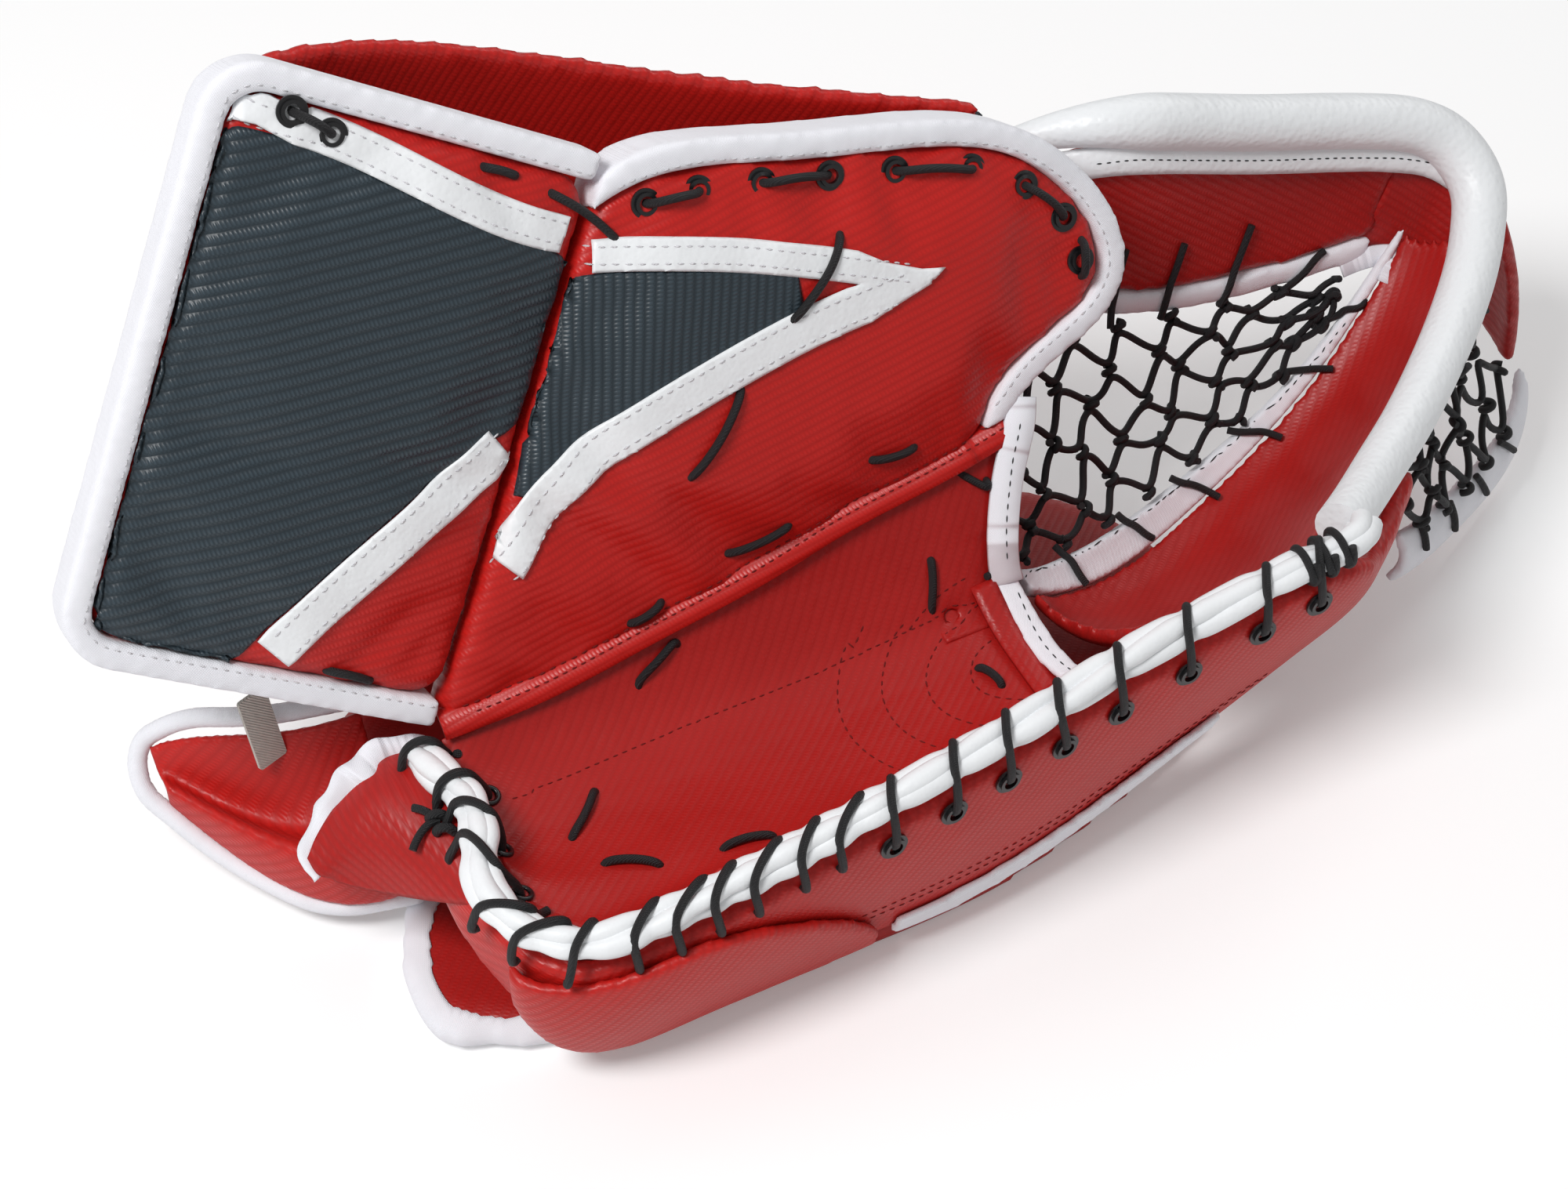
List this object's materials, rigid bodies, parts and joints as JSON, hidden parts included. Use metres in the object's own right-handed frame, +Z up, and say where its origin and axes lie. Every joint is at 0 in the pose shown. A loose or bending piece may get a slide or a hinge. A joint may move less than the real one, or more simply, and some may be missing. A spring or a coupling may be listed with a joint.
{
  "type": "goalie catch glove",
  "caption": "Ice hockey goalie catch glove for the left hand, lying on its back pad with a hinged thumb board, cuff board and laced single-T pocket.",
  "frame": {"origin": "on the floor under the break line, on the flat underside of the back pad that the glove lies on", "axes": "+X from the wrist to the pocket along the break, +Y to the thumb side, +Z up out of the pocket"},
  "size_m": [0.4872, 0.2183, 0.252],
  "materials": {
    "red_vinyl": "red synthetic leather with a woven twill emboss",
    "charcoal_vinyl": "charcoal synthetic leather with a woven twill emboss",
    "white_vinyl": "white grained synthetic leather",
    "binding_cloth": "white woven binding tape",
    "black_lace": "black waxed lace",
    "black_eyelet": "black pressed eyelets",
    "palm_leather": "red palm leather",
    "foam_liner": "black knitted liner over foam",
    "elastic": "translucent elastic tab"
  },
  "bodies": {
    "palm": {"finger_wall": "red_vinyl", "rope_edge": "white_vinyl", "perimeter_lace": "black_lace", "perimeter_eyelets": "black_eyelet", "palm_lining": "palm_leather", "palm_ties": "black_lace", "palm_pad": "foam_liner", "palm_break": "palm_leather", "back_pad": "red_vinyl", "finger_dividers": "foam_liner", "back_gusset": "red_vinyl", "back_binding": "white_vinyl", "break_binding": "binding_cloth", "corner_roll": "white_vinyl", "stem_roll": "white_vinyl", "stem_band": "red_vinyl", "stem_binding": "binding_cloth", "palm_end_binding": "binding_cloth", "corner_pad": "red_vinyl", "outer_band": "binding_cloth", "inner_net": "black_lace", "outer_net": "black_lace", "heel_tongue": "red_vinyl"},
    "thumb": {"thumb_board": "red_vinyl", "thumb_binding": "binding_cloth", "thumb_stripes": "white_vinyl", "thumb_dark_panel": "charcoal_vinyl", "thumb_eyelets": "black_eyelet", "thumb_edge_laces": "black_lace", "thumb_ties": "black_lace", "thumb_stall": "foam_liner", "back_shell": "red_vinyl"},
    "cuff": {"cuff_board": "red_vinyl", "cuff_binding": "binding_cloth", "cuff_stripes": "white_vinyl", "cuff_dark_panel": "charcoal_vinyl", "cuff_liner": "foam_liner", "cuff_eyelets": "black_eyelet", "cuff_laces": "black_lace", "crease_lace": "black_lace"},
    "bar": {"bar_roll": "white_vinyl", "pocket_bar": "red_vinyl", "bar_binding": "binding_cloth", "roll_flange": "white_vinyl"},
    "wrist_flap": {"wrist_flap": "red_vinyl", "flap_binding": "binding_cloth", "elastic_tab": "elastic"},
    "hand_strap": {"hand_strap": "red_vinyl"}
  },
  "joints": [
    {"name": "thumb_close", "type": "hinge", "parent": "palm", "child": "thumb", "pos_m": [0, 0, 0.07], "axis": [1, 0, 0], "range_deg": [-4, 40], "stiffness_Nm_per_rad": 3, "deforming": ["palm_break", "back_gusset", "inner_net", "break_binding"]},
    {"name": "bar_fold", "type": "hinge", "parent": "palm", "child": "bar", "pos_m": [0.249, 0.044, 0.096], "axis": [0.3701, 0.0925, 0.9244], "range_deg": [-4, 33], "stiffness_Nm_per_rad": 0.6, "deforming": ["corner_roll"]},
    {"name": "cuff_flex", "type": "hinge", "parent": "thumb", "child": "cuff", "pos_m": [-0.109, 0.0013, 0.0727], "axis": [0.5195, 0.3679, 0.7712], "range_deg": [0, 20], "stiffness_Nm_per_rad": 1.2, "deforming": ["crease_lace"]},
    {"name": "wrist_flap_open", "type": "hinge", "parent": "palm", "child": "wrist_flap", "pos_m": [-0.119, 0.015, 0.014], "axis": [0, 1, 0], "range_deg": [-4, 30], "stiffness_Nm_per_rad": 0.25},
    {"name": "hand_strap_open", "type": "hinge", "parent": "palm", "child": "hand_strap", "pos_m": [-0.118, -0.068, 0.03], "axis": [0, 0, -1], "range_deg": [0, 40], "stiffness_Nm_per_rad": 0.15}
  ],
  "couplings": [
    {"joint": "bar_fold", "follows": "thumb_close", "ratio": 0.785}
  ]
}
